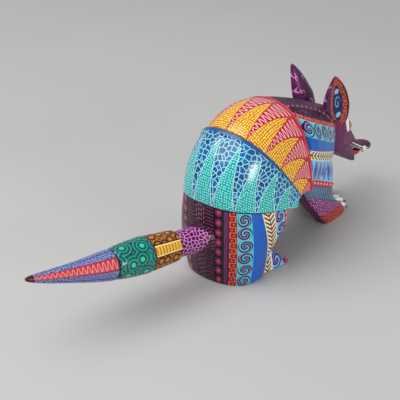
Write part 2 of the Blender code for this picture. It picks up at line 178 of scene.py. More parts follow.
class Canvas:
    """One painted material while it is being made."""

    def __init__(self, name):
        self.mat = bpy.data.materials.new(name)
        self.mat.use_nodes = True
        self.tree = self.mat.node_tree
        self.bsdf = self.tree.nodes["Principled BSDF"]
        self.place = self.tree.nodes.new("ShaderNodeTexCoord").outputs["Object"]

    def add(self, kind, **settings):
        node = self.tree.nodes.new(kind)
        for key, value in settings.items():
            setattr(node, key, value)
        return node

    def wire(self, source, sock):
        self.tree.links.new(source.sock if isinstance(source, Val) else source, sock)

    def val(self, sock):
        return Val(self.tree, sock)

    def layer(self, name):
        split = self.add("ShaderNodeSeparateXYZ")
        self.wire(self.add("ShaderNodeUVMap", uv_map=name).outputs[0], split.inputs[0])
        return self.val(split.outputs[0]), self.val(split.outputs[1])

    def vector(self, x, y):
        join = self.add("ShaderNodeCombineXYZ")
        self.wire(x, join.inputs[0])
        self.wire(y, join.inputs[1])
        return join.outputs[0]

    def noise(self, scale, detail=2.0, at=None):
        """Noise at a scale in cycles per metre, or over a vector of its own."""
        node = self.add("ShaderNodeTexNoise")
        self.wire(at or self.place, node.inputs["Vector"])
        dial(node, {"Scale": scale, "Detail": detail})
        return self.val(node.outputs["Fac"])

    def cells(self, x, y, size, feature="DISTANCE_TO_EDGE", random=1.0):
        node = self.add("ShaderNodeTexVoronoi", feature=feature, voronoi_dimensions="2D")
        self.wire(self.vector(x / size, y / size), node.inputs["Vector"])
        dial(node, {"Scale": 1.0, "Randomness": random})
        return node

    def distance(self, x, y, size, *kind):
        """How far off the nearest cell wall, or with "F1" the nearest middle."""
        return self.val(self.cells(x, y, size, *kind).outputs["Distance"])

    def mix(self, fac, a, b):
        node = self.add("ShaderNodeMix", data_type="RGBA")
        self.wire(fac, node.inputs[0])
        for sock, colour in zip(node.inputs[6:8], (a, b)):
            if isinstance(colour, Val):
                self.wire(colour, sock)
            else:
                sock.default_value = linear(colour)
        return self.val(node.outputs[2])

    def over(self, colour, *coats):
        """The colour under (mask, colour) coats laid on in turn."""
        for mask, coat in coats:
            colour = self.mix(mask, colour, coat)
        return colour

    def stretched(self, *scale):
        """Place on the object, stretched along its axes."""
        node = self.add("ShaderNodeMapping")
        dial(node, {"Scale": scale})
        self.wire(self.place, node.inputs["Vector"])
        return node.outputs[0]

    def finish(self, colour, height=None, rough=0.34, coat=0.08, relief=0.12, wear=0.14):
        """Lacquered paint: brushed tone, slightly raised strokes, faint tool marks below."""
        shade = self.add("ShaderNodeHueSaturation")
        self.wire((self.noise(90.0, 4.0) - 0.5) * wear + 1.0, shade.inputs["Value"])
        self.wire(colour, shade.inputs["Color"])
        self.wire(shade.outputs[0], self.bsdf.inputs["Base Color"])
        self.wire(self.noise(260.0, 3.0) * 0.18 + (rough - 0.09), self.bsdf.inputs["Roughness"])
        dial(self.bsdf, {"Coat Weight": coat, "Coat Roughness": 0.16, "Specular IOR Level": 0.28})
        marks = self.noise(420.0, 3.0) * 0.5
        if height is not None:
            marks = marks + height
        bump = self.add("ShaderNodeBump")
        dial(bump, {"Distance": relief * MM, "Strength": 0.8})
        self.wire(marks, bump.inputs["Height"])
        self.wire(bump.outputs[0], self.bsdf.inputs["Normal"])
        return self.mat


# --- paint motifs ---
# Each takes the canvas and a place on it, and gives (colour, height of the stroke).
def speckle(c, x, y, pitch, size, ground, dot):
    m = below(c.distance(x, y, pitch, "F1", 0.35), size, 0.12)
    return c.mix(m, ground, dot), m


def ovals(c, u, v, ground, mark):
    """Upright ovals in two staggered columns."""
    d = hypot(beat(u, 0.5) * 2.1, (fract(v / 3.2 + floor(u * 2.0) * 0.5) - 0.5) * 2.0)
    m = below(d, 0.56, 0.2)
    return c.mix(m, ground, mark), m


def mosaic(c, x, y, size, lines, dark, light):
    tone = c.add("ShaderNodeSeparateColor")
    cell = c.cells(x, y, size, "F1")
    c.wire(cell.outputs["Color"], tone.inputs[0])
    wall = below(c.distance(x, y, size), 0.085, 0.03)
    return c.mix(wall, c.mix(c.val(tone.outputs[0]), dark, light), lines), wall


def serpentine(c, x, reach, y, pitch, ground, line):
    """A stroke that swings from side to side; x is divided by its reach."""
    turn = y * (TAU / pitch)
    off = abs(x / reach - op("SINE", turn) * 0.86) / (abs(op("COSINE", turn)) + 0.22)
    m = below(off, 0.42, 0.3) * below(abs(x / reach), 1.0, 0.1)
    return c.mix(m, ground, line), m


def spiral(x, y, turns, start):
    """How far off a spiral about (0, 0), in turns, and the distance from its middle."""
    r = hypot(x, y)
    return abs(fract(op("ARCTAN2", y, x) / TAU + r * turns + start) - 0.5), r


def scroll(c, u, v, width, cell, ground, line, core, turns=3.1):
    """S-scrolls: pairs of spirals that run into each other."""
    odd = fract(floor(v / cell) * 0.5) * 2.0
    d, r = spiral((u - 0.5) * (width / cell), beat(v, cell), turns, odd * 0.5 + (0.25 - 0.5 * turns))
    keep = below(r, 0.52, 0.04)
    m = below(d, 0.36, 0.08) * keep
    return c.mix(below(d, 0.10, 0.08) * keep, c.mix(m, ground, line), core), m


def chevron(c, u, v, pitch, ground, line, slant=3.4):
    f = fract((v - abs(u - 0.5) * slant) / pitch)
    m = either(near(f, 0.5, 0.23, 0.1) * below(abs(u - 0.5), 0.42, 0.03), near(u, 0.5, 0.03, 0.02))
    return c.mix(m, ground, line), m


def meander(c, u, v, cell, ground, key):
    """Square wave with a dot in each bay."""
    f = fract(v / cell)
    odd = floor(fract(v / cell * 0.5) * 2.0)
    x = odd + u * (1.0 - odd * 2.0)
    run = near(x, 0.16, 0.085, 0.03)
    step = below(0.5 - abs(f - 0.5), 0.10, 0.03) * below(abs(u - 0.5), 0.42, 0.03)
    dot = below(hypot(x - 0.62, f - 0.5), 0.15, 0.05)
    m = either(either(run, step), dot)
    return c.mix(m, ground, key), m


def beads(c, u, v, width, pitch, ground, ring, heart):
    d = hypot((u - 0.5) * (width / pitch), beat(v, pitch))
    m = below(d, 0.40, 0.05)
    return c.mix(below(d, 0.18, 0.16), c.mix(m, ground, ring), heart), m


def hatch(c, u, v, pitch, slant, ground, line):
    waver = c.noise(3.0, 2.0, c.vector(u, v)) * 0.7
    m = near(fract((v + u * slant) / pitch + waver), 0.5, 0.2, 0.12) * below(abs(u - 0.5), 0.44, 0.06)
    return c.mix(m, ground, line), m


def chain(c, u, v, pitch, ground, line):
    swing = op("SINE", v * (TAU / pitch)) * 0.24
    m = either(near(u - 0.5, swing, 0.08, 0.05), near(u - 0.5, swing * -1.0, 0.08, 0.05))
    return c.mix(m, ground, line), m


def leaves(c, u, v, pitch, ground, leaf, heart):
    half = (1.0 - (u - 0.5) * (u - 0.5) * 4.6) * 0.40
    y = abs(beat(v, pitch))
    m = below(y - half, 0.0, 0.05)
    inner = below(y - half, -0.11, 0.04)
    core = below(y - half, -0.25, 0.04)
    return c.mix(core, c.mix(inner, c.mix(m, ground, leaf), heart), leaf), m


def rope(c, u, v, pitch, ground, strand):
    m = near(fract(v / pitch + (u - 0.5) * 0.9), 0.5, 0.3, 0.1) * below(abs(u - 0.5), 0.36, 0.08)
    return c.mix(m, ground, strand), m


def brushed(c, u, v, base, streak):
    m = below(c.noise(1.0, 2.0, c.vector(u * 2.2, v * 1.3)), 0.42, 0.06) * below(1.0 - u, 0.9, 0.3)
    return c.mix(m * 0.8, base, streak), m * 0.4


def net(c, x, y, size, ground, line):
    m = below(c.distance(x, y, size), 0.10, 0.05)
    return c.mix(m, ground, line), m


def woven(c, u, v, width, size, ground, line):
    """Net over a band of that width."""
    return net(c, v, u * width, size, ground, line)


def circles(c, x, y, size, rings, dark, light, heart):
    """Rings round scattered middles, cut off where they meet."""
    r = c.distance(x, y, size, "F1", 0.45)
    m = near(fract(r * rings), 0.55, 0.24, 0.12)
    return c.mix(below(r, 0.15, 0.04), c.mix(m, dark, light), heart), m


def daub(name, motif, *given):
    """Material of one band: the motif over the paint layer."""
    c = Canvas(name)
    u, v = c.layer("paint")
    colour, height = motif(c, fract(u), v, *given)
    return c.finish(colour, height, 0.3)


def plain(name, base, other, rough=0.38, coat=0.05):
    """One colour laid on by brush: long soft streaks of a second tone."""
    c = Canvas(name)
    m = below(c.noise(140.0, 4.0, c.stretched(1.0, 0.35, 0.35)), 0.5, 0.35)
    return c.finish(c.mix(m, base, other), m * 0.3, rough, coat)


# --- materials ---
def rear_shell_paint():
    """Turquoise tongues rise from the rear edge through a blue mosaic to a dark seam."""
    c = Canvas("rear_shell_paint")
    p, g = c.layer("paint")
    x, y = c.layer("mm")
    half = op("POWER", op("MAXIMUM", 1.0 - g / 0.88, 0.0), 0.86) * 0.478
    off = abs(fract(p + 0.5) - 0.5)
    dots, high = speckle(c, x, y, 1.5, 0.29, TURQUOISE, AQUA)
    tiles, wall = mosaic(c, x, y, 3.3, (0.55, 0.86, 0.88), (0.07, 0.20, 0.42), (0.03, 0.40, 0.68))
    tongue = below(off - half, 0.0, 0.012)
    line = near(off - half, 0.004, 0.012, 0.012) * below(g, 0.885, 0.01)
    seam = above(g, 0.945, 0.012)
    # the navy strip along the rear edge (g under 0.018) is painted shadow: the dark line where the shell
    # overhangs the rump
    colour = c.over(tiles, (tongue, dots), (line, ICE), (seam, (0.02, 0.32, 0.56)),
                    (below(g, 0.018, 0.01), NAVY))
    return c.finish(colour, either(high * tongue, wall * (1.0 - tongue)), 0.2, 0.5)


def front_shell_paint():
    """Yellow fins rise from the seam; red wedges between them carry a pale swinging line."""
    c = Canvas("front_shell_paint")
    p, g = c.layer("paint")
    x, y = c.layer("mm")
    rest = op("MAXIMUM", 1.0 - g / 0.78, 0.0)
    half = op("POWER", rest, 0.72) * 0.485
    off = abs(fract(p) - 0.5)
    fin = below(off - half, 0.0, 0.012)
    dots, high = speckle(c, x, y, 1.6, 0.30, GOLD, STRAW)
    wedge = fract(p + 0.5) - 0.5
    line, stroke = serpentine(c, wedge, (0.5 - half) * 0.84, g, 0.084, RED, BLUSH)
    rim = above(g, 0.915, 0.01)
    border = near(off - half, 0.014, 0.012, 0.01) * below(g, 0.78, 0.01)
    colour = c.over(line, (fin, dots), (rim, RED), (border, (0.62, 0.02, 0.06)),
                    (near(g, 0.955, 0.012, 0.01), ROSE))
    return c.finish(colour, either(high * fin, stroke * (1.0 - fin) * (1.0 - rim)), 0.2, 0.5)


def neck_top_paint():
    """Dark crown of the neck: a pink rope on either side, faint curls between."""
    c = Canvas("neck_top_paint")
    u, v = c.layer("paint")  # distance from the middle, distance along
    at = u - (v - 66.7) * 0.30  # the rope drifts outwards towards the head
    strand, high = rope(c, (at - 7.2) / 4.0, v, 3.4, INK, (0.66, 0.32, 0.40))
    curls = near(fract(c.noise(1.0, 1.0, c.vector(u * 0.22, v * 0.16)) * 7.0), 0.5, 0.10, 0.08)
    ticks = near(at, 13.2, 2.6, 0.5) * near(fract(at), 0.5, 0.3, 0.2)
    ground = c.over((0.20, 0.06, 0.16), (curls * 0.35, MAUVE), (ticks, INK))
    on = near(at, 9.2, 1.8, 0.2)
    return c.finish(c.mix(on, ground, strand), high * on, 0.5, 0.0)


def ochre_paint():
    """Gold loops on brown with cream comb panels between dark lines."""
    c = Canvas("ochre_paint")
    u, v = c.layer("paint")  # turns round the tail, millimetres along
    x, y = c.layer("mm")
    off = abs(fract(u * 3.0 + 0.5) - 0.5)  # thirds of a turn from a panel's middle
    loops, high = circles(c, x, y, 5.6, 2.6, (0.25, 0.12, 0.03), (0.66, 0.41, 0.05), (0.80, 0.52, 0.06))
    comb = near(fract(v / 2.3), 0.5, 0.2, 0.12) * below(off, 0.11, 0.01)
    panel = c.over((0.93, 0.72, 0.22), (comb, (0.72, 0.42, 0.06)), (near(off, 0.135, 0.013, 0.01), CREAM))
    colour = c.over(loops, (below(off, 0.15, 0.008), panel), (near(off, 0.17, 0.017, 0.01), BLACKISH))
    colour = c.mix(near(v, 10.4, 9.7, 0.2), BROWN, colour)
    return c.finish(colour, either(high, comb), 0.28)


def teal_paint():
    c = Canvas("teal_paint")
    colour, height = circles(c, *c.layer("mm"), 9.0, 4.4, (0.0, 0.26, 0.24), (0.02, 0.56, 0.50),
                             (0.03, 0.80, 0.70))
    return c.finish(colour, height, 0.25, 0.45)


def stub_paint():
    """Pink net on plum; ticks like the rump's take over where the stub leaves the body."""
    c = Canvas("tail_net")
    u, v = c.layer("paint")
    x, y = c.layer("mm")
    web, high = net(c, x, y, 2.5, (0.24, 0.04, 0.24), PINK)
    ticks, fine = hatch(c, beat(y, 5.0) + 0.5, x, 2.3, 0.3, BLACKISH, (0.44, 0.20, 0.34))
    collar = below(v, abs(u) * 40.0 - 21.0, 0.4)
    return c.finish(c.mix(collar, web, ticks), either(high, fine))


def spike_paint():
    """Long stripes: red with a pale zigzag, slate with fine scribble, a dark tip."""
    c = Canvas("spike_paint")
    u, v = c.layer("paint")
    x, y = c.layer("mm")
    off = fract(u * 2.0 + 0.5) - 0.5  # half turns from a red stripe's middle
    zig, high = serpentine(c, off, 0.10, v, 3.1, (0.74, 0.18, 0.26), (0.94, 0.56, 0.50))
    scribble, fine = net(c, x, y, 2.0, (0.28, 0.33, 0.52), (0.54, 0.68, 0.82))
    lilac = below(c.noise(60.0), 0.5, 0.2) * 0.5
    stripe = below(abs(off), 0.125, 0.008)
    colour = c.over(scribble, (lilac, (0.50, 0.40, 0.66)), (stripe, zig),
                    (near(abs(off), 0.13, 0.010, 0.006), (0.50, 0.16, 0.34)),
                    (near(abs(off), 0.31, 0.010, 0.006), NAVY),
                    (above(v, 96.5, 0.6), MAROON), (below(v, 46.2, 0.3), (0.36, 0.14, 0.40)))
    return c.finish(colour, either(high * stripe, fine * (1.0 - stripe)), 0.3)


def curl(x, y, turns, start):
    """One curled stroke, about one across."""
    d, r = spiral(x, y, turns, start)
    return below(d, 0.16, 0.1) * below(r, 0.5, 0.05)


# curls on the back of an ear: place across and along it, size, turn of the curl
EAR_CURLS = ((-0.84, 0.86, 0.10, 0.1), (-0.76, 0.79, 0.10, 0.6), (-0.80, 0.62, 0.12, 0.3),
             (-0.66, 0.56, 0.12, 0.8), (0.43, 0.60, 0.12, 0.4), (-0.31, 0.37, 0.14, 0.9),
             (-0.86, 0.42, 0.11, 0.2), (0.40, 0.30, 0.13, 0.5), (0.80, 0.45, 0.12, 0.0),
             (0.10, 0.74, 0.12, 0.7))


def ear_back_paint():
    c = Canvas("ear_back_paint")
    u, v = c.layer("paint")
    ink = 0.0
    for x, y, size, start in EAR_CURLS:
        ink = either(ink, curl((u - x) * (0.30 / size), (v - y) / size, 1.7, start))
    brush = c.mix(below(c.noise(160.0, 3.0), 0.5, 0.3), PLUM, (0.40, 0.16, 0.36))
    return c.finish(c.mix(ink, brush, PINK), ink)


def ear_front_paint():
    """Scaled border round a dark almond with two dots and a scroll."""
    c = Canvas("ear_front_paint")
    u, v = c.layer("paint")
    rim, high = net(c, u * 8.0, v * 40.0, 2.4, (0.80, 0.34, 0.26), MAROON)
    mid = u - 0.10
    edge = hypot(mid / 0.38, (v - 0.47) / 0.32)
    navy = below(edge, 1.0, 0.04)
    dots = either(*[below(hypot(mid * 0.22, v - at), 0.05, 0.015) for at in (0.70, 0.24)])
    stroke = curl(mid * 1.9, (v - 0.47) / 0.26, 2.3, 0.2)
    inner = below(u, -0.50, 0.04)  # the inner margin is plain plum like the back
    colour = c.over(rim, (navy, NAVY), (near(edge, 1.04, 0.07, 0.04), INK), (dots, SKY),
                    (stroke, (0.40, 0.70, 0.80)), (inner, (0.30, 0.10, 0.26)),
                    (near(u, -0.5, 0.03, 0.02), ROSE), (above(u, 0.86, 0.04), MAROON))
    return c.finish(colour, either(either(dots, stroke), high * (1.0 - navy)))


def hind_foot_paint():
    """Pale blue with purple curls, a red toe, and the rump's bands run on at the heel."""
    c = Canvas("hind_foot_paint")
    u, v = c.layer("paint")  # height share, distance from the toe
    curls, high = scroll(c, u, v, 12.0, 9.0, SKY, NAVY, MAUVE, 2.2)
    dots, spots = speckle(c, v, u * 13.0, 3.0, 0.26, (0.66, 0.03, 0.12), GOLD)
    toe = below(v, 5.0, 0.3)
    plait, _ = chevron(c, (24.4 - v) / 7.0, u * 14.0, 3.0, CREAM, BROWN, 7.5)
    colour = c.over(curls, (toe, dots), (near(v, 5.2, 0.35, 0.2), INK), (near(v, 17.2, 0.35, 0.2), ICE),
                    (above(v, 17.4, 0.2), plait), (above(v, 24.4, 0.2), BLUE))
    return c.finish(colour, either(high * (1.0 - toe), spots * toe))


def head_paint():
    """Plain plum skin, darker along the top of the snout and under the jaw, a pale gum line."""
    c = Canvas("head_paint")
    lip, back = c.layer("paint")  # height above the lip, distance from the snout tip
    x, z = c.layer("mm")
    streak = below(c.noise(1.0, 4.0, c.vector(x * 0.9, z * 0.25)), 0.5, 0.3)
    snout = below(back, 36.0, 3.0)
    gums = snout * above(back, 8.0, 2.0)
    colour = c.over(SKIN, (streak * 0.6, (0.44, 0.17, 0.38)),
                    (snout * above(lip, 3.4, 0.5), (0.30, 0.09, 0.24)),
                    (gums * below(lip, 3.3, 0.2), (0.16, 0.08, 0.30)),
                    (gums * near(lip, 2.7, 0.42, 0.2), WHITE), (gums * near(lip, 0.9, 0.42, 0.2), WHITE))
    return c.finish(colour, streak * 0.2, 0.46, 0.0)


def eye_paint():
    """From the gaze outwards: pupil, gold iris, black ring, white."""
    c = Canvas("eye_paint")
    u, _ = c.layer("paint")  # angle from the gaze, in half turns
    ray = c.mix(c.noise(900.0), (0.85, 0.62, 0.10), (0.55, 0.42, 0.06))
    colour = c.over(WHITE, (below(u, 0.27, 0.008), INK), (below(u, 0.245, 0.008), ray),
                    (below(u, 0.13, 0.008), BLACKISH))
    return c.finish(colour, None, 0.12, 0.8, 0.02)


def claw_paint():
    c = Canvas("claw_paint")
    _, v = c.layer("paint")
    colour = c.mix(either(above(v, 0.72, 0.08), below(v, 0.1, 0.04)), WHITE, BLACKISH)
    return c.finish(colour, None, 0.25, 0.5, 0.04)


def bare_wood():
    c = Canvas("bare_wood")
    grain = below(c.noise(900.0, 4.0, c.stretched(1.0, 0.06, 1.0)), 0.5, 0.3)
    return c.finish(c.mix(grain, (0.83, 0.68, 0.47), (0.66, 0.48, 0.29)), grain, 0.6, 0.0)


# painted bands: motif and what it is given
DAUBS = {
    # round the rump
    "plum_dots": (ovals, DEEP_PLUM, (0.56, 0.34, 0.44)),
    "plum_hatch": (hatch, 2.3, 0.3, BLACKISH, (0.44, 0.20, 0.34)),
    "rose_beads": (beads, 7.2, 6.9, BLACKISH, (0.42, 0.15, 0.26), (0.84, 0.24, 0.44)),
    "mauve_chain": (chain, 3.0, DEEP_PLUM, (0.48, 0.26, 0.52)),
    "orange_key": (meander, 3.6, (0.50, 0.08, 0.14), (0.88, 0.36, 0.25)),
    "sea_scroll": (scroll, 9.6, 8.6, (0.30, 0.76, 0.80), INDIGO, (0.62, 0.46, 0.66), 2.3),
    "blue_brush": (brushed, BLUE, (0.28, 0.24, 0.66)),
    "wheat_chevron": (chevron, 3.2, CREAM, BROWN, 8.0),
    "sky_scroll": (scroll, 9.0, 9.5, SKY, (0.20, 0.08, 0.34), (0.56, 0.42, 0.70), 2.0),
    "red_beads": (beads, 5.0, 4.4, RED, (0.9, 0.5, 0.5), WHITE),
    # down the shoulder and the foreleg
    "orange_scales": (woven, 3.0, 2.2, ORANGE, MAROON),
    "shoulder_scroll": (scroll, 10.0, 9.0, SEA, INDIGO, (0.58, 0.44, 0.68), 2.3),
    "wheat_herringbone": (chevron, 3.7, CREAM, BROWN, 7.0),
    "sky_leaves": (leaves, 6.6, SKY, (0.16, 0.12, 0.46), (0.42, 0.56, 0.86)),
    "red_dots": (beads, 4.6, 4.4, RED, (0.86, 0.20, 0.22), (1.0, 0.80, 0.74)),
    "slate_hatch": (hatch, 2.5, 0.3, (0.22, 0.30, 0.44), (0.46, 0.60, 0.68)),
    "violet_net": (woven, 16.0, 2.4, (0.26, 0.06, 0.28), PINK),
    "foot_scales": (woven, 12.0, 2.8, (0.80, 0.28, 0.22), MAROON),
}
PLAINS = {
    "blue_plain": ((0.08, 0.40, 0.74), (0.10, 0.35, 0.72)),
    # shadow_plum is painted shade: near-black plum for the rump's underside, the belly and the core under the
    # shells
    "shadow_plum": ((0.17, 0.05, 0.13), (0.22, 0.08, 0.18)),
    "leg_plum": ((0.30, 0.09, 0.22), (0.36, 0.13, 0.28)),
}
PALETTE = {name: daub(name, *given) for name, given in DAUBS.items()}
PALETTE.update({name: plain(name, *pair) for name, pair in PLAINS.items()})
PALETTE["neck_top"] = neck_top_paint()


# --- meshes ---
def around(count):
    """Angles of even steps round a circle."""
    return [TAU * k / count for k in range(count)]


def square_to(axis):
    """Unit vectors to the side of an axis and above it."""
    side = axis.cross(Vector((0, 0, 1))).normalized()
    return side, side.cross(axis)


def link(name, data):
    ob = bpy.data.objects.new(name, data)
    bpy.context.scene.collection.objects.link(ob)
    return ob


def smooth(rows, step):
    """The rows resampled along a curve that passes through them and never overshoots."""
    rows = np.array(rows, float)
    x = rows[:, 0]
    rise = np.diff(rows, axis=0) / np.diff(x)[:, None]
    slope = np.zeros_like(rows)
    pair = rise[:-1] * rise[1:]
    slope[1:-1] = np.where(pair > 0, 2 * pair / (rise[:-1] + rise[1:] + 1e-12), 0.0)
    slope[0], slope[-1] = rise[0], rise[-1]
    out = []
    for i in range(len(rows) - 1):
        wide = x[i + 1] - x[i]
        count = max(2, round(abs(wide) / step))
        for k in range(count):
            t = k / count
            out.append(rows[i] * (2 * t ** 3 - 3 * t ** 2 + 1) + slope[i] * wide * (t ** 3 - 2 * t ** 2 + t)
                       + rows[i + 1] * (3 * t ** 2 - 2 * t ** 3) + slope[i + 1] * wide * (t ** 3 - t ** 2))
    out.append(rows[-1])
    return out


def sup(angle, a, b, n):
    """Point of a superellipse at a parameter angle."""
    c, s = cos(angle), sin(angle)
    return a * math.copysign(abs(c) ** (2 / n), c), b * math.copysign(abs(s) ** (2 / n), s)


def oval(count, a, b, n):
    return [sup(t, a, b, n) for t in around(count)]


@contextmanager
def edited(ob):
    """The object's mesh, open for editing."""
    bm = bmesh.new()
    bm.from_mesh(ob.data)
    yield bm
    bm.to_mesh(ob.data)
    bm.free()


def tidy_normals(ob, sharp):
    with edited(ob) as bm:
        bmesh.ops.recalc_face_normals(bm, faces=bm.faces)
    ob.data.shade_smooth()
    ob.data.set_sharp_from_angle(angle=radians(sharp))


def skin(name, grid, marks, mats, pick=lambda i, j: 0, caps=True, sharp=40.0):
    """Mesh over closed rings of points in the carver's millimetres.

    marks holds (u, v, x, y) for each point, and once more for the first of each ring.
    """
    rows, cols = len(grid), len(grid[0])
    verts = [p for row in grid for p in row]
    faces, corners, face_mat = [], [], []
    for i in range(rows - 1):
        for j in range(cols):
            k = (j + 1) % cols
            faces.append((i * cols + j, i * cols + k, (i + 1) * cols + k, (i + 1) * cols + j))
            corners += [marks[i][j], marks[i][j + 1], marks[i + 1][j + 1], marks[i + 1][j]]
            face_mat.append(pick(i, j))
    for i in (0, rows - 1) if caps else ():
        verts.append(sum((Vector(p) for p in grid[i]), Vector()) / cols)
        for j in range(cols):
            faces.append((i * cols + j, i * cols + (j + 1) % cols, len(verts) - 1))
            corners += [marks[i][j], marks[i][j + 1], marks[i][j]]
            face_mat.append(pick(i, j))
    mesh = bpy.data.meshes.new(name)
    mesh.from_pydata([tuple((Vector(p) + SHIFT) * MM) for p in verts], [], faces)
    for mat in mats:
        mesh.materials.append(mat)
    mesh.polygons.foreach_set("material_index", face_mat)
    corners = np.asarray(corners, np.float32)
    for layer, part in (("paint", corners[:, :2]), ("mm", corners[:, 2:])):
        uv = mesh.uv_layers.new(name=layer)
        uv.data.foreach_set("uv", np.ascontiguousarray(part).ravel())
    ob = link(name, mesh)
    tidy_normals(ob, sharp)
    return ob


def flat_marks(grid, fn):
    """Marks worked out from each point alone."""
    return [[fn(p) for p in row] + [fn(row[0])] for row in grid]


def unmarked(grid):
    """Marks to be filled in later, once the piece has been cut."""
    return flat_marks(grid, lambda p: (0, 0, 0, 0))


def boolean(base, others, kind):
    for other in others:
        mod = base.modifiers.new(kind, "BOOLEAN")
        mod.operation, mod.solver, mod.object = kind, "EXACT", other
        bpy.context.view_layer.objects.active = base
        bpy.ops.object.modifier_apply(modifier=mod.name)
        bpy.data.objects.remove(other, do_unlink=True)


def join(name, obs):
    """One object out of several."""
    with bpy.context.temp_override(active_object=obs[0], selected_editable_objects=obs):
        bpy.ops.object.join()
    obs[0].name = obs[0].data.name = name
    return obs[0]


def remark(ob, fn):
    """Fill both UV layers again from each corner's place and its face."""
    mesh = ob.data
    for name in ("paint", "mm"):
        if name not in mesh.uv_layers:
            mesh.uv_layers.new(name=name)
    paint, sizes = mesh.uv_layers["paint"].data, mesh.uv_layers["mm"].data
    for poly in mesh.polygons:
        for loop in poly.loop_indices:
            at = mesh.vertices[mesh.loops[loop].vertex_index].co / MM - SHIFT
            u, v, x, y = fn(at, poly)
            paint[loop].uv, sizes[loop].uv = (u, v), (x, y)


def settle(ob, body, node):
    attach(ob, body)
    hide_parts(node)


# --- carapace ---
HINGE_Y, HINGE_Z = -55.8, 41.8
ARCH_REAR = (11.6, 60.5, 34.3, 2.70)  # plane angle, reach, half width, squareness
ARCH_SEAM = (53.9, 65.8, 33.7, 2.50)
ARCH_FRONT = (95.5, 59.2, 36.4, 2.23)
ARCH_END, SHELL_THICK, RIM_RAISE = 10.0, 5.0, 0.7
FANS = 5  # painted fans on either side of the ridge


def arch(phi):
    """Reach, half width and squareness at an angle: a parabola through the three arches."""
    rows = (ARCH_REAR, ARCH_SEAM, ARCH_FRONT)
    weights = [math.prod((phi - b[0]) / (a[0] - b[0]) for b in rows if b is not a) for a in rows]
    return [sum(w * row[i] for w, row in zip(weights, rows)) for i in (1, 2, 3)]


def dome(phi, t, inset=0.0):
    reach, half, n = arch(phi)
    reach, half = reach - inset, half - inset
    end = math.acos((ARCH_END / reach) ** (n / 2))
    x, r = sup(pi / 2 - t * end, half, reach, n)
    a = radians(phi)
    return Vector((x, HINGE_Y + r * cos(a), HINGE_Z + r * sin(a)))


def shell(name, phi0, phi1, mats, cols=132, step=0.9):
    """Curved plate; its front rim stands up by a rounded step."""
    count = round((phi1 - phi0) / step)
    stops = [(phi0 + 0.25 * k * k, -0.5 * (1 - k / 2) ** 2) for k in range(3)]
    stops += [(p, 0.0) for p in np.linspace(phi0 + 1.2, phi1 - 4.0, count)]
    stops += [(phi1 - 3.5 + 0.25 * k, RIM_RAISE * sin(k * pi / 8) ** 2) for k in range(5)]
    stops += [(p, RIM_RAISE) for p in np.linspace(phi1 - 2.1, phi1 - 0.7, 3)]
    stops += [(phi1 - 0.3, RIM_RAISE * 0.85), (phi1, RIM_RAISE * 0.45)]
    ts = np.linspace(-1, 1, cols + 1)
    grid, marks = [], []
    for phi, up in stops:
        out = [dome(phi, t, -up) for t in ts]
        run = np.concatenate([[0], np.cumsum([(b - a).length for a, b in zip(out, out[1:])])])
        run -= run[cols // 2]
        share = (phi - phi0) / (phi1 - phi0)
        turn = radians(phi - (phi0 + phi1) / 2)
        row = []
        for s, p in zip(run, out):
            r = math.hypot(p.y - HINGE_Y, p.z - HINGE_Z)
            row.append((s / run[-1] * FANS, share, s, r * turn))
        grid.append(out + [dome(phi, t, SHELL_THICK) for t in reversed(ts)])
        marks.append(row + list(reversed(row)) + [row[0]])
    ob = skin(name, grid, marks, mats, lambda _, j: int(j >= cols), caps=False, sharp=50)
    width = 2 * (cols + 1)
    with edited(ob) as bm:
        bm.verts.ensure_lookup_table()
        for i in (0, len(stops) - 1):
            for j in range(cols):
                quad = [bm.verts[i * width + k] for k in (j, j + 1, width - 2 - j, width - 1 - j)]
                bm.faces.new(quad).material_index = 1
    tidy_normals(ob, 50)
    return ob


# --- torso ---
RUMP_HALF_W, RUMP_REAR_Y, RUMP_FRONT_Y = (25.0, 32.0), (0.0, 3.2), (-30.5, -48.5)
BELLY = [(35, -20, 20, -55.4, -20), (37, -24, 24, -55.6, -20), (43, -27, 27, -55.8, -20),
         (52, -25, 25, -54, -20)]
# height, how much narrower on the right and on the left, toe, heel
HIND_FOOT = [(0.2, 1, 1, -50, -17), (1.4, 0, 0, -51, -17), (5, 0, 0, -47, -17), (9, 0.6, 0.2, -42, -17),
             (13, 1.5, 0.4, -37, -17), (18, 2, 1, -30, -18)]
HIND_FOOT_X, HIND_FOOT_FLARE = (12.0, 24.5), 3.2
FLARE_FROM, FLARE_LENGTH = -27.0, 22.0
RUMP_SQUARE, RUMP_DEPTH, RUMP_INSET = (2.25, 5.0), 18.0, 0.4
# painted bands from the middle of the rump round to the flank, and the angles where they
# end, about an upright line through RUMP_MID, under the shell and at the ground; the last,
# shadow_plum, is painted shade where the rump turns under towards the belly
RUMP_MID, RUMP_FACE = -18.0, 84.0
RUMP_BANDS = ("plum_dots", "plum_hatch", "rose_beads", "mauve_chain", "orange_key", "sea_scroll",
              "blue_brush", "wheat_chevron", "sky_scroll", "red_beads", "shadow_plum")
RUMP_ENDS_TOP = (0, 10.6, 28, 42.3, 50, 60.5, 79.5, 93.5, 109.5, 125.4, 134, 180)
RUMP_ENDS_LOW = (0, 9.5, 27, 42.3, 51, 63, 84, 115, 131, 146, 156, 180)


def blend(pair, share):
    return pair[0] + (pair[1] - pair[0]) * share


def rump_ring(level, half_w, rear, front, count=360):
    pts = []
    mid = rear - RUMP_DEPTH
    for turn in around(count):
        back = sin(turn) >= 0
        x, y = sup(turn, half_w, rear - mid if back else mid - front, RUMP_SQUARE[0 if back else 1])
        y += mid
        reach = (y - HINGE_Y) / (ARCH_REAR[1] * cos(radians(ARCH_REAR[0])))
        reach = min(0.999, max(0.0, reach))
        edge = ARCH_REAR[2] * (1 - reach ** ARCH_REAR[3]) ** (1 / ARCH_REAR[3]) - RUMP_INSET
        x += (math.copysign(min(abs(x), edge), x) - x) * level ** 1.5
        top = HINGE_Z + (y - HINGE_Y) * math.tan(radians(ARCH_REAR[0])) - GAP
        pts.append((x, y, top * level))
    return np.array(pts)


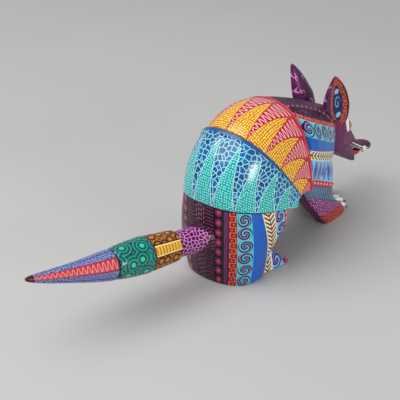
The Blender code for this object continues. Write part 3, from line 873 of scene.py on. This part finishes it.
def rump(per_band=8, levels=34):
    """Wall of the rump with one column of faces per slice of a band."""
    bands = len(RUMP_BANDS)
    w = np.arange(-bands * per_band, bands * per_band) / per_band
    grid, marks = [], []
    for f in [0.0, 0.02] + list(np.linspace(0.05, 1.0, levels)):
        ease = sin(f * pi / 2)
        shrink = 0.8 if f == 0.0 else 0.0
        swell = min(1.0, max(0.0, (f - 0.3) / 0.4))
        swell = swell * swell * (3 - 2 * swell)
        ring = rump_ring(f, blend(RUMP_HALF_W, ease) - shrink, blend(RUMP_REAR_Y, ease) - shrink,
                         blend(RUMP_FRONT_Y, swell) + shrink)
        ends = np.array(RUMP_ENDS_LOW) * (1 - f) + np.array(RUMP_ENDS_TOP) * f
        lean = np.sign(w) * np.interp(np.abs(w), range(bands + 1), ends)
        want = (RUMP_FACE + lean) % 360
        have = np.degrees(np.arctan2(ring[:, 1] - RUMP_MID, ring[:, 0])) % 360
        order = np.argsort(have)
        xyz = [np.interp(want, have[order], ring[order, i], period=360) for i in range(3)]
        grid.append([Vector(p) for p in np.stack(xyz, 1)])
        row = [(abs(q), p.z, q, p.z) for q, p in zip(w, grid[-1])]
        marks.append(row + [(bands, grid[-1][0].z, bands, 0)])

    paints = [PALETTE[band] for band in RUMP_BANDS]
    return skin("rump", grid, marks, paints, lambda _, j: int(abs(w[j] + 0.5 / per_band)))


def box_loft(name, sections, mats, flare=0.0):
    """Loft up Z through rounded rectangles (z, x0, x1, y0, y1); the toe flares sideways."""
    grid = []
    for z, x0, x1, y0, y1 in smooth(sections, 1.5):
        ring = []
        for x, y in oval(40, (x1 - x0) / 2, (y1 - y0) / 2, 4.0):
            y += (y0 + y1) / 2
            bend = max(0.0, (FLARE_FROM - y) / FLARE_LENGTH)
            ring.append(Vector(((x0 + x1) / 2 + x + flare * bend, y, z)))
        grid.append(ring)
    toe = min(p.y for row in grid for p in row)
    return skin(name, grid, flat_marks(grid, lambda p: (p.z / 14.0, p.y - toe, p.x, p.z)), mats)


# --- tail ---
TAIL_ROOT = Vector((4.9, 23.5, 32.6))
TAIL_SWING, TAIL_RISE = 10.0, 5.3
TAIL_BEND, TAIL_STRAIGHT, TAIL_BENT = 6.5, 45.0, 56.0
PEG_R = 3.5
# how far along the tail, and radius there
OCHRE_RING = [(0, 8.6), (0.8, 9.4), (9, 10.1), (19.5, 10.7), (20.9, 10.2)]
TEAL_RING = [(21.2, 10.6), (22.2, 11.2), (30, 10.9), (38, 10.2), (43.8, 9.3), (44.6, 8.9)]
SPIKE = [(44.9, 8.5), (45.8, 9.3), (50, 9), (60, 7.6), (72.4, 5.8), (85.8, 4), (95.8, 2.4), (99.6, 1.5),
         (101, 0.8)]
PANEL_TURN = 150.0  # the painted panels are centred on this angle


def tail_ring(s, r, count, facets=0.0):
    """Ring round the tail's axis; facets blends it towards an octagon."""
    a, b = radians(TAIL_SWING), radians(TAIL_RISE)
    axis = Vector((sin(a) * cos(b), cos(a) * cos(b), sin(b)))
    side, up = square_to(axis)
    lift = TAIL_BEND * (max(0.0, s - TAIL_STRAIGHT) / TAIL_BENT) ** 1.5
    ring = []
    for t in around(count):
        turn = t + radians(PANEL_TURN) + pi
        octant = (turn - radians(PANEL_TURN) + pi / 8) % (pi / 4) - pi / 8
        flat = cos(pi / 8) / cos(octant)
        reach = r * (1 + facets * (flat - 0.96))
        ring.append(TAIL_ROOT + axis * s + side * (cos(turn) * reach)
                    + up * (sin(turn) * reach + lift))
    return ring


def tail_skin(name, stations, paint, facets=0.0, bored=True, count=72):
    """Turned piece on the tail's axis, open along the peg's bore unless it is the tip."""
    rows = smooth(stations, 1.2)
    grid = [tail_ring(s, r, count, facets) for s, r in rows]
    turns = [k / count - 0.5 for k in range(count + 1)]
    marks = [[(turn, s, turn * TAU * r, s) for turn in turns] for s, r in rows]
    if bored:
        grid += [tail_ring(stations[i][0], PEG_R + GAP, count) for i in (-1, 0)] + [grid[0]]
        marks += [marks[-1], marks[0], marks[0]]
    return skin(name, grid, marks, [paint], caps=not bored, sharp=35)


# --- neck and legs ---
NECK = [(-56.1, 33, 44, 97), (-66, 32.4, 41, 97.4), (-76, 30, 39.5, 95.4),
        (-87, 26.6, 38.5, 92), (-98, 22.4, 38.5, 88), (-106, 18.8, 41, 84),
        (-109, 15.5, 45, 80)]
NECK_SQUARE = 2.9
LEG = [(0, -105, -126.5, 6.5, 16.6, 16), (1.5, -104, -128.6, 6, 17.4, 16.8),
       (7, -98.5, -126.8, 6, 18.4, 17.4), (13, -92.5, -118.8, 6.2, 19.2, 18),
       (19, -86.8, -112.4, 6.6, 20, 18.2), (25, -80.8, -110, 7.2, 21.2, 18.8),
       (33, -73.5, -108.6, 8.4, 23.4, 19.2), (42, -65.5, -108, 10, 26, 19),
       (50, -62.5, -107, 12, 26.5, 17.6)]
LEFT_LEG_STEP, BELLY_LINE = -14.0, 44.0
# painted bands down the shoulder and the foreleg: (material, Z of its upper edge at the
# shell, Z of its upper edge at the head); the crown of the neck lies above the first
FORE_BACK, FORE_FRONT = -60.0, -100.0
FORE_BANDS = [("orange_scales", 97.2, 77.6), ("shoulder_scroll", 94.8, 74.6), ("blue_plain", 84.8, 64.6),
              ("wheat_herringbone", 76.4, 58.4), ("sky_leaves", 70.4, 51.6), ("red_dots", 56, 35.8),
              ("slate_hatch", 51.2, 31.8), ("violet_net", 41.5, 21.7), ("foot_scales", 12.6, 10.8)]


def fore_edge(k, y):
    """Height of the upper edge of band k, at a place along the body."""
    return blend(FORE_BANDS[k][1:], (FORE_BACK - y) / (FORE_BACK - FORE_FRONT))


def neck():
    """Block from under the shell to the back of the head, cut off along the shell's front plane."""
    grid = []
    for y, half, z0, z1 in smooth(NECK, 1.5):
        lean = max(0.0, (y + 72.0) / 16.0) * math.tan(radians(ARCH_FRONT[0] - 90.0))
        ring = []
        for x, z in oval(96, half, (z1 - z0) / 2, NECK_SQUARE):
            z += (z0 + z1) / 2
            ring.append(Vector((x, y - (z - HINGE_Z) * lean, z)))
        grid.append(ring)
    return skin("forequarters", grid, unmarked(grid), [])


def fore_leg(side):
    step = LEFT_LEG_STEP if side > 0 else 0.0
    grid = []
    for z, rear, fore, inner, out_r, out_f in smooth(LEG, 1.5):
        f = max(0.0, 1 - z / 42.0)
        rear, fore = rear + step * f, fore + step * f
        ring = []
        for u, v in oval(64, 0.5, 0.5, 4.5):
            outer = out_r + (out_f - out_r) * (0.5 - v)
            x = inner + (outer - inner) * (0.5 + u)
            ring.append(Vector((side * x, fore + (rear - fore) * (0.5 + v), z)))
        grid.append(ring)
    return skin("leg", grid, unmarked(grid), [])


def forequarters():
    body = neck()
    boolean(body, [fore_leg(side) for side in (-1, 1)], "UNION")
    boolean(body, [ear("cut", side, EAR_ROOM) for side in (-1, 1)], "DIFFERENCE")
    names = ["neck_top"] + [band[0] for band in FORE_BANDS] + ["leg_plum"]
    body.data.materials.clear()
    for name in names:
        body.data.materials.append(PALETTE[name])
    bands = range(len(FORE_BANDS))
    with edited(body) as bm:
        for k in bands:
            back, front = (fore_edge(k, y) for y in (FORE_BACK, FORE_FRONT))
            bmesh.ops.bisect_plane(bm, geom=bm.verts[:] + bm.edges[:] + bm.faces[:], dist=1e-7,
                                   plane_co=(Vector((0.0, FORE_BACK, back)) + SHIFT) * MM,
                                   plane_no=(0.0, (front - back) / (FORE_BACK - FORE_FRONT), 1.0))
    for poly in body.data.polygons:
        mid, n = poly.center / MM - SHIFT, poly.normal
        hidden = n.y > 0.55 or (n.x * mid.x < 0 and n.y > -0.5)
        if n.z < -0.75 or (mid.z < BELLY_LINE and hidden):
            poly.material_index = len(names) - 1
        else:
            poly.material_index = sum(mid.z < fore_edge(k, mid.y) for k in bands)

    def marks(p, poly):
        if poly.material_index == 0:
            return abs(p.x), -p.y, p.x, -p.y
        k = min(poly.material_index, len(FORE_BANDS)) - 1
        low = fore_edge(k + 1, p.y) if k + 1 < len(FORE_BANDS) else 0.0
        high = fore_edge(k, p.y)
        return (high - p.z) / max(high - low, 1.0), -p.y + abs(p.x) * 0.5, -p.y, p.z

    remark(body, marks)
    tidy_normals(body, 42)
    body.name = "forequarters_skin"
    return body


# --- head ---
SKULL = [(-109.3, 79.5, 50, 14.6), (-113, 81, 48, 16.2), (-120, 77.8, 46, 16.2),
         (-128, 71.2, 45.5, 14.6), (-135, 63.6, 45.5, 12.8), (-141, 56.4, 44, 11.2),
         (-147, 49.6, 40.6, 9.2), (-153, 43.8, 37, 7.4), (-159, 39.8, 33.6, 6.4),
         (-165, 37.2, 30.6, 5.9), (-171, 35.4, 28.4, 5.4), (-175.5, 33.8, 27.6, 4.2),
         (-177.6, 32.2, 28.4, 2.4)]
JAW = [(-110, 60, 49.6, 12.6), (-118, 57, 46.4, 14.8), (-126, 55, 42, 14.4),
       (-134, 52, 37.4, 12.8), (-140, 47.6, 33.8, 11.2), (-146, 40.4, 30.4, 8.9),
       (-151, 33.8, 27.6, 6.6), (-155, 28.9, 25.4, 4.2), (-156.8, 27, 25.2, 2)]
TONGUE = [(-143, 39.6, 5.4, 3), (-149, 34.8, 5.6, 3.2), (-154, 32.6, 5.5, 2.6),
          (-159, 31.3, 4.8, 1.7), (-162, 30.6, 3.3, 1.2), (-166, 29.7, 2, 0.6)]
EAR_ROOM = 0.9
EYE_AT, EYE_R, LID_R = Vector((10.3, -128.8, 63.6)), 5.1, 0.75
GAZE, UPRIGHT = Vector((0.80, -0.58, 0.12)), Vector((0, 0, 1))
TOOTH_AT, TOOTH_R = Vector((5.6, -163.8, 32.4)), Vector((1.8, 1.9, 2.9))
EAR_BASE, EAR_TIP = Vector((14.4, -116.6, 67.0)), Vector((17.6, -104.2, 107.0))
EAR = [(0, 8, 6), (0.08, 13, 9.2), (0.2, 17, 10), (0.36, 18.8, 10), (0.55, 17.2, 8.2),
       (0.75, 12.6, 5.8), (0.89, 7.2, 3.6), (0.97, 3.4, 2.2), (1, 1.4, 1.2)]
CLAWS = [((15.2, -117.5, 9.4), (16, -130.5, 3.2)), ((11.8, -116.5, 11.8), (12.2, -134.5, 4.6)),
         ((8.4, -117, 11.6), (8.4, -135.5, 5.4))]
CLAW = [(0, 1.3), (0.12, 1.55), (0.4, 1.55), (0.7, 1.25), (0.9, 0.8), (1, 0.4)]
CLAW_ARCH = 1.6


def section_loft(name, rows, mats, count=72, square=2.35):
    """Loft along Y through rounded sections (y, top, bottom, half width)."""
    grid = [[Vector((x, y, (top + bottom) / 2 + z)) for x, z in oval(count, half, (top - bottom) / 2, square)]
            for y, top, bottom, half in smooth(rows, 1.2)]
    return skin(name, grid, flat_marks(grid, lambda p: (p.z / 30, -p.y, p.x, p.z)), mats)


def ellipsoid(name, at, radii, axis, paint, rings=28, count=48):
    """Ellipsoid whose paint layer holds the angle from an axis, in half turns."""
    axis = axis.normalized()
    side, up = square_to(axis)
    grid, marks = [], []
    for i in range(rings + 1):
        a = pi * min(max(i / rings, 0.004), 0.996)
        row = [axis * cos(a) + (side * cos(t) + up * sin(t)) * sin(a)
               for t in around(count)]
        grid.append([at + Vector(p * r for p, r in zip(d, radii)) for d in row])
        marks.append([(a / pi, k / count, k, i) for k in range(count + 1)])
    return skin(name, grid, marks, [paint], sharp=60)


def lid(side):
    """Rounded rim of the eye socket: a slim ring round the eyeball."""
    flip = Vector((side, 1, 1))
    axis = (GAZE * flip).normalized()
    wide, up = square_to(axis)
    grid = []
    for t in around(40):
        out = wide * cos(t) + up * sin(t)
        mid = EYE_AT * flip + axis * (EYE_R * 0.30) + out * (EYE_R * 0.93)
        grid.append([mid + (out * cos(q) + axis * sin(q)) * LID_R for q in around(12)])
    grid.append(grid[0])
    return skin("lid", grid, unmarked(grid), [], caps=False)


def ear(name, side, grow=0.0, mats=()):
    """Leaf-shaped shell; one that is grown serves to cut its own socket."""
    base, tip = (v * Vector((side, 1, 1)) for v in (EAR_BASE, EAR_TIP))
    along = (tip - base).normalized()
    wide = Vector((side * 0.25, -0.96, -0.08))
    wide = (wide - along * wide.dot(along)).normalized()
    face = along.cross(wide) * side
    if face.x * side < 0:
        face = -face
    backs, fronts = 30, 24
    grid, marks = [], []
    for s, width, depth in smooth(EAR, 0.025):
        mid = base + (tip - base) * s - along * (grow if s == 0.0 else 0.0)
        half, back = width / 2 + grow, depth + grow
        hollow = 0.0 if grow else min(1.3, 0.12 * width)
        ring, row = [], []
        for k in range(backs):
            a = pi * k / (backs - 1)
            ring.append(mid + wide * (half * cos(a)) - face * (back * max(0.0, sin(a)) ** 0.8))
            row.append((cos(a), s, half * cos(a), s * 40.0))
        for k in range(1, fronts):
            u = -1 + 2 * k / fronts
            ring.append(mid + wide * (half * u) + face * (grow - hollow * (1 - u * u)))
            row.append((u, s, half * u, s * 40.0))
        grid.append(ring)
        marks.append(row + [row[0]])
    return skin(name, grid, marks, list(mats), lambda _, j: int(j >= backs - 1), sharp=45)


def horn(name, a, b, paint, count=20):
    """Curved claw from its root to its point."""
    axis = (b - a).normalized()
    side, up = square_to(axis)
    grid, marks = [], []
    for f, r in smooth(CLAW, 0.06):
        mid = a + (b - a) * f + up * (CLAW_ARCH * sin(pi * f))
        grid.append([mid + (side * cos(t) + up * sin(t)) * r for t in around(count)])
        marks.append([(k / count, f, k, f) for k in range(count + 1)])
    return skin(name, grid, marks, [paint], sharp=55)


def blend_creases(ob, voxel=0.55, passes=14):
    """Even out where two lofts meet, as a carver's knife would."""
    mesh = ob.modifiers.new("even", "REMESH")
    mesh.mode, mesh.voxel_size = "VOXEL", voxel * MM
    soft = ob.modifiers.new("soften", "SMOOTH")
    soft.factor, soft.iterations = 0.5, passes
    bpy.context.view_layer.objects.active = ob
    for mod in ("even", "soften"):
        bpy.ops.object.modifier_apply(modifier=mod)


def head(mat):
    skull = section_loft("head", SKULL, [mat])
    boolean(skull, [section_loft("jaw", JAW, [mat])], "UNION")
    blend_creases(skull)
    boolean(skull, [ear("cut", side, GAP) for side in (-1, 1)], "DIFFERENCE")
    skull = join("head", [skull] + [lid(side) for side in (-1, 1)])
    rows = smooth(SKULL, 1.2)
    ys, lows = [-r[0] for r in rows], [r[2] for r in rows]

    def marks(p, _):
        return p.z - float(np.interp(-p.y, ys, lows)), p.y - SNOUT_TIP, p.x * 0.3 + p.y, p.z

    remark(skull, marks)
    tidy_normals(skull, 40)
    skull.name = "head_skin"
    return skull


# --- assembly ---
SIDES = ((-1, "right"), (1, "left"))


def build_figure():
    seam, edge = plain("seam_blue", NAVY, (0.06, 0.22, 0.5)), plain("edge_red", RED, (0.6, 0.02, 0.06))
    rear = shell("rear_shell_skin", ARCH_REAR[0], ARCH_SEAM[0] - 0.15, [rear_shell_paint(), seam])
    settle(rear, "figure", "rear_shell")
    front = shell("front_shell_skin", ARCH_SEAM[0] + 0.15, ARCH_FRONT[0] - 0.2, [front_shell_paint(), edge])
    settle(front, "figure", "front_shell")

    inset = SHELL_THICK + GAP
    grid = []
    for phi in np.linspace(7.0, ARCH_FRONT[0] - 0.3, 30):
        a = radians(phi)
        arc = [dome(phi, -1 + 2 * k / 60, inset) for k in range(61)]
        grid.append(arc + [Vector((x, HINGE_Y + 0.8 * cos(a), HINGE_Z + 0.8 * sin(a)))
                           for x in (27.0, -27.0)])
    # core and belly are laid in shadow_plum: painted shade under the shells and under the body
    shade = PALETTE["shadow_plum"]
    parts = [rump(), skin("core", grid, flat_marks(grid, lambda p: (0.5, p.z, p.x, p.z)), [shade])]
    parts.append(box_loft("belly", BELLY, [shade]))
    foot = hind_foot_paint()
    for side in (-1, 1):
        x0, x1 = sorted(side * x for x in HIND_FOOT_X)
        sections = [(z, x0 + a, x1 - b, toe, heel) for z, a, b, toe, heel in HIND_FOOT]
        parts.append(box_loft("foot", sections, [foot], side * HIND_FOOT_FLARE))
    parts.append(tail_skin("stub", [(-34, 11.5), (-24, 10.6), (-21.5, 10), (-14, 8.6), (-6, 8), (-GAP, 7.8)],
                           stub_paint()))
    settle(join("torso_skin", parts), "figure", "torso")

    settle(forequarters(), "figure", "forequarters")
    settle(head(head_paint()), "figure", "head")
    red = plain("tongue_red", (0.80, 0.08, 0.06), (0.66, 0.05, 0.05), 0.22)
    rows = [(y, z + t, z - t, w) for y, z, w, t in TONGUE]
    settle(section_loft("tongue_skin", rows, [red], 40, 2.6), "figure", "tongue")
    white = plain("enamel", WHITE, (0.86, 0.84, 0.80), 0.2, 0.6)
    iris, nail = eye_paint(), claw_paint()
    for side, label in SIDES:
        flip = Vector((side, 1, 1))
        eye = ellipsoid("eye_%s_skin" % label, EYE_AT * flip, Vector((1, 1, 1)) * EYE_R, GAZE * flip, iris)
        settle(eye, "figure", "eye_" + label)
        tooth = ellipsoid("tooth_%s_skin" % label, TOOTH_AT * flip, TOOTH_R, UPRIGHT + flip * 0.01, white)
        settle(tooth, "figure", "tooth_" + label)
        step = Vector((0, LEFT_LEG_STEP if side > 0 else 0, 0))
        for k, ends in enumerate(CLAWS):
            node = "claw_%s_%d" % (label, k + 1)
            claw = horn(node + "_skin", *[Vector(end) * flip + step for end in ends], nail)
            settle(claw, "figure", node)


def build_ears():
    paints = [ear_back_paint(), ear_front_paint()]
    for side, label in SIDES:
        settle(ear("ear_%s_skin" % label, side, 0.0, paints), "ear_" + label, "ear_" + label)


def build_tail():
    ochre = tail_skin("tail_ring_ochre_skin", OCHRE_RING, ochre_paint())
    settle(ochre, "tail", "tail_ring_ochre")
    teal = tail_skin("tail_ring_teal_skin", TEAL_RING, teal_paint())
    settle(teal, "tail", "tail_ring_teal")
    spike = tail_skin("tail_spike_skin", SPIKE, spike_paint(), facets=0.6, bored=False)
    settle(spike, "tail", "tail_spike")
    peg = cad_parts["tail_peg"]
    peg.data.materials.clear()
    peg.data.materials.append(bare_wood())


LIT_SPOT = Vector((0.0, 0.0, 0.04))
LOOK_AT, AZIMUTH, ELEVATION = Vector((0.0223, 0.0078, 0.0396)), radians(221), radians(28)
DISTANCE, FIELD_OF_VIEW = 0.66, radians(21.5)


def build_stage():
    c = Canvas("floor")
    paint = c.mix(c.noise(6.0, 3.0), (0.74, 0.735, 0.725), (0.71, 0.705, 0.695))
    c.wire(paint, c.bsdf.inputs["Base Color"])
    dial(c.bsdf, {"Roughness": 0.7})
    floor_mesh = bpy.data.meshes.new("floor")
    floor_mesh.from_pydata([(-4, -4, 0), (4, -4, 0), (4, 4, 0), (-4, 4, 0)], [], [(0, 1, 2, 3)])
    floor_mesh.materials.append(c.mat)
    ground = link("floor", floor_mesh)
    ground.location.z = CAD_BOX[0].z


def soft_light(name, at, size, power):
    lamp = bpy.data.lights.new(name, "AREA")
    lamp.shape, lamp.size, lamp.energy = "DISK", size, power
    ob = link(name, lamp)
    ob.location = at
    ob.rotation_euler = (LIT_SPOT - ob.location).to_track_quat("-Z", "Y").to_euler()


def build_studio():
    soft_light("key", (0.25, 0.55, 1.05), 1.3, 14.0)
    soft_light("window", (-1.2, 0.14, 0.32), 0.35, 5.0)
    world = bpy.data.worlds.new("studio")
    world.use_nodes = True
    dial(world.node_tree.nodes["Background"], {"Color": linear((0.93, 0.94, 0.96)), "Strength": 0.52})
    bpy.context.scene.world = world
    bpy.context.scene.view_settings.view_transform = "Standard"
    back = Vector((sin(AZIMUTH) * cos(ELEVATION), -cos(AZIMUTH) * cos(ELEVATION), sin(ELEVATION)))
    cam = bpy.data.cameras.new("camera")
    cam.sensor_width = 36.0
    cam.lens = cam.sensor_width / 2 / math.tan(FIELD_OF_VIEW / 2)
    cam.clip_start = 0.01
    ob = link("camera", cam)
    ob.location = LOOK_AT + back * DISTANCE
    ob.rotation_euler = (-back).to_track_quat("-Z", "Y").to_euler()
    bpy.context.scene.camera = ob


build_stage()
build_studio()
build_figure()
build_ears()
build_tail()

bpy.context.view_layer.update()
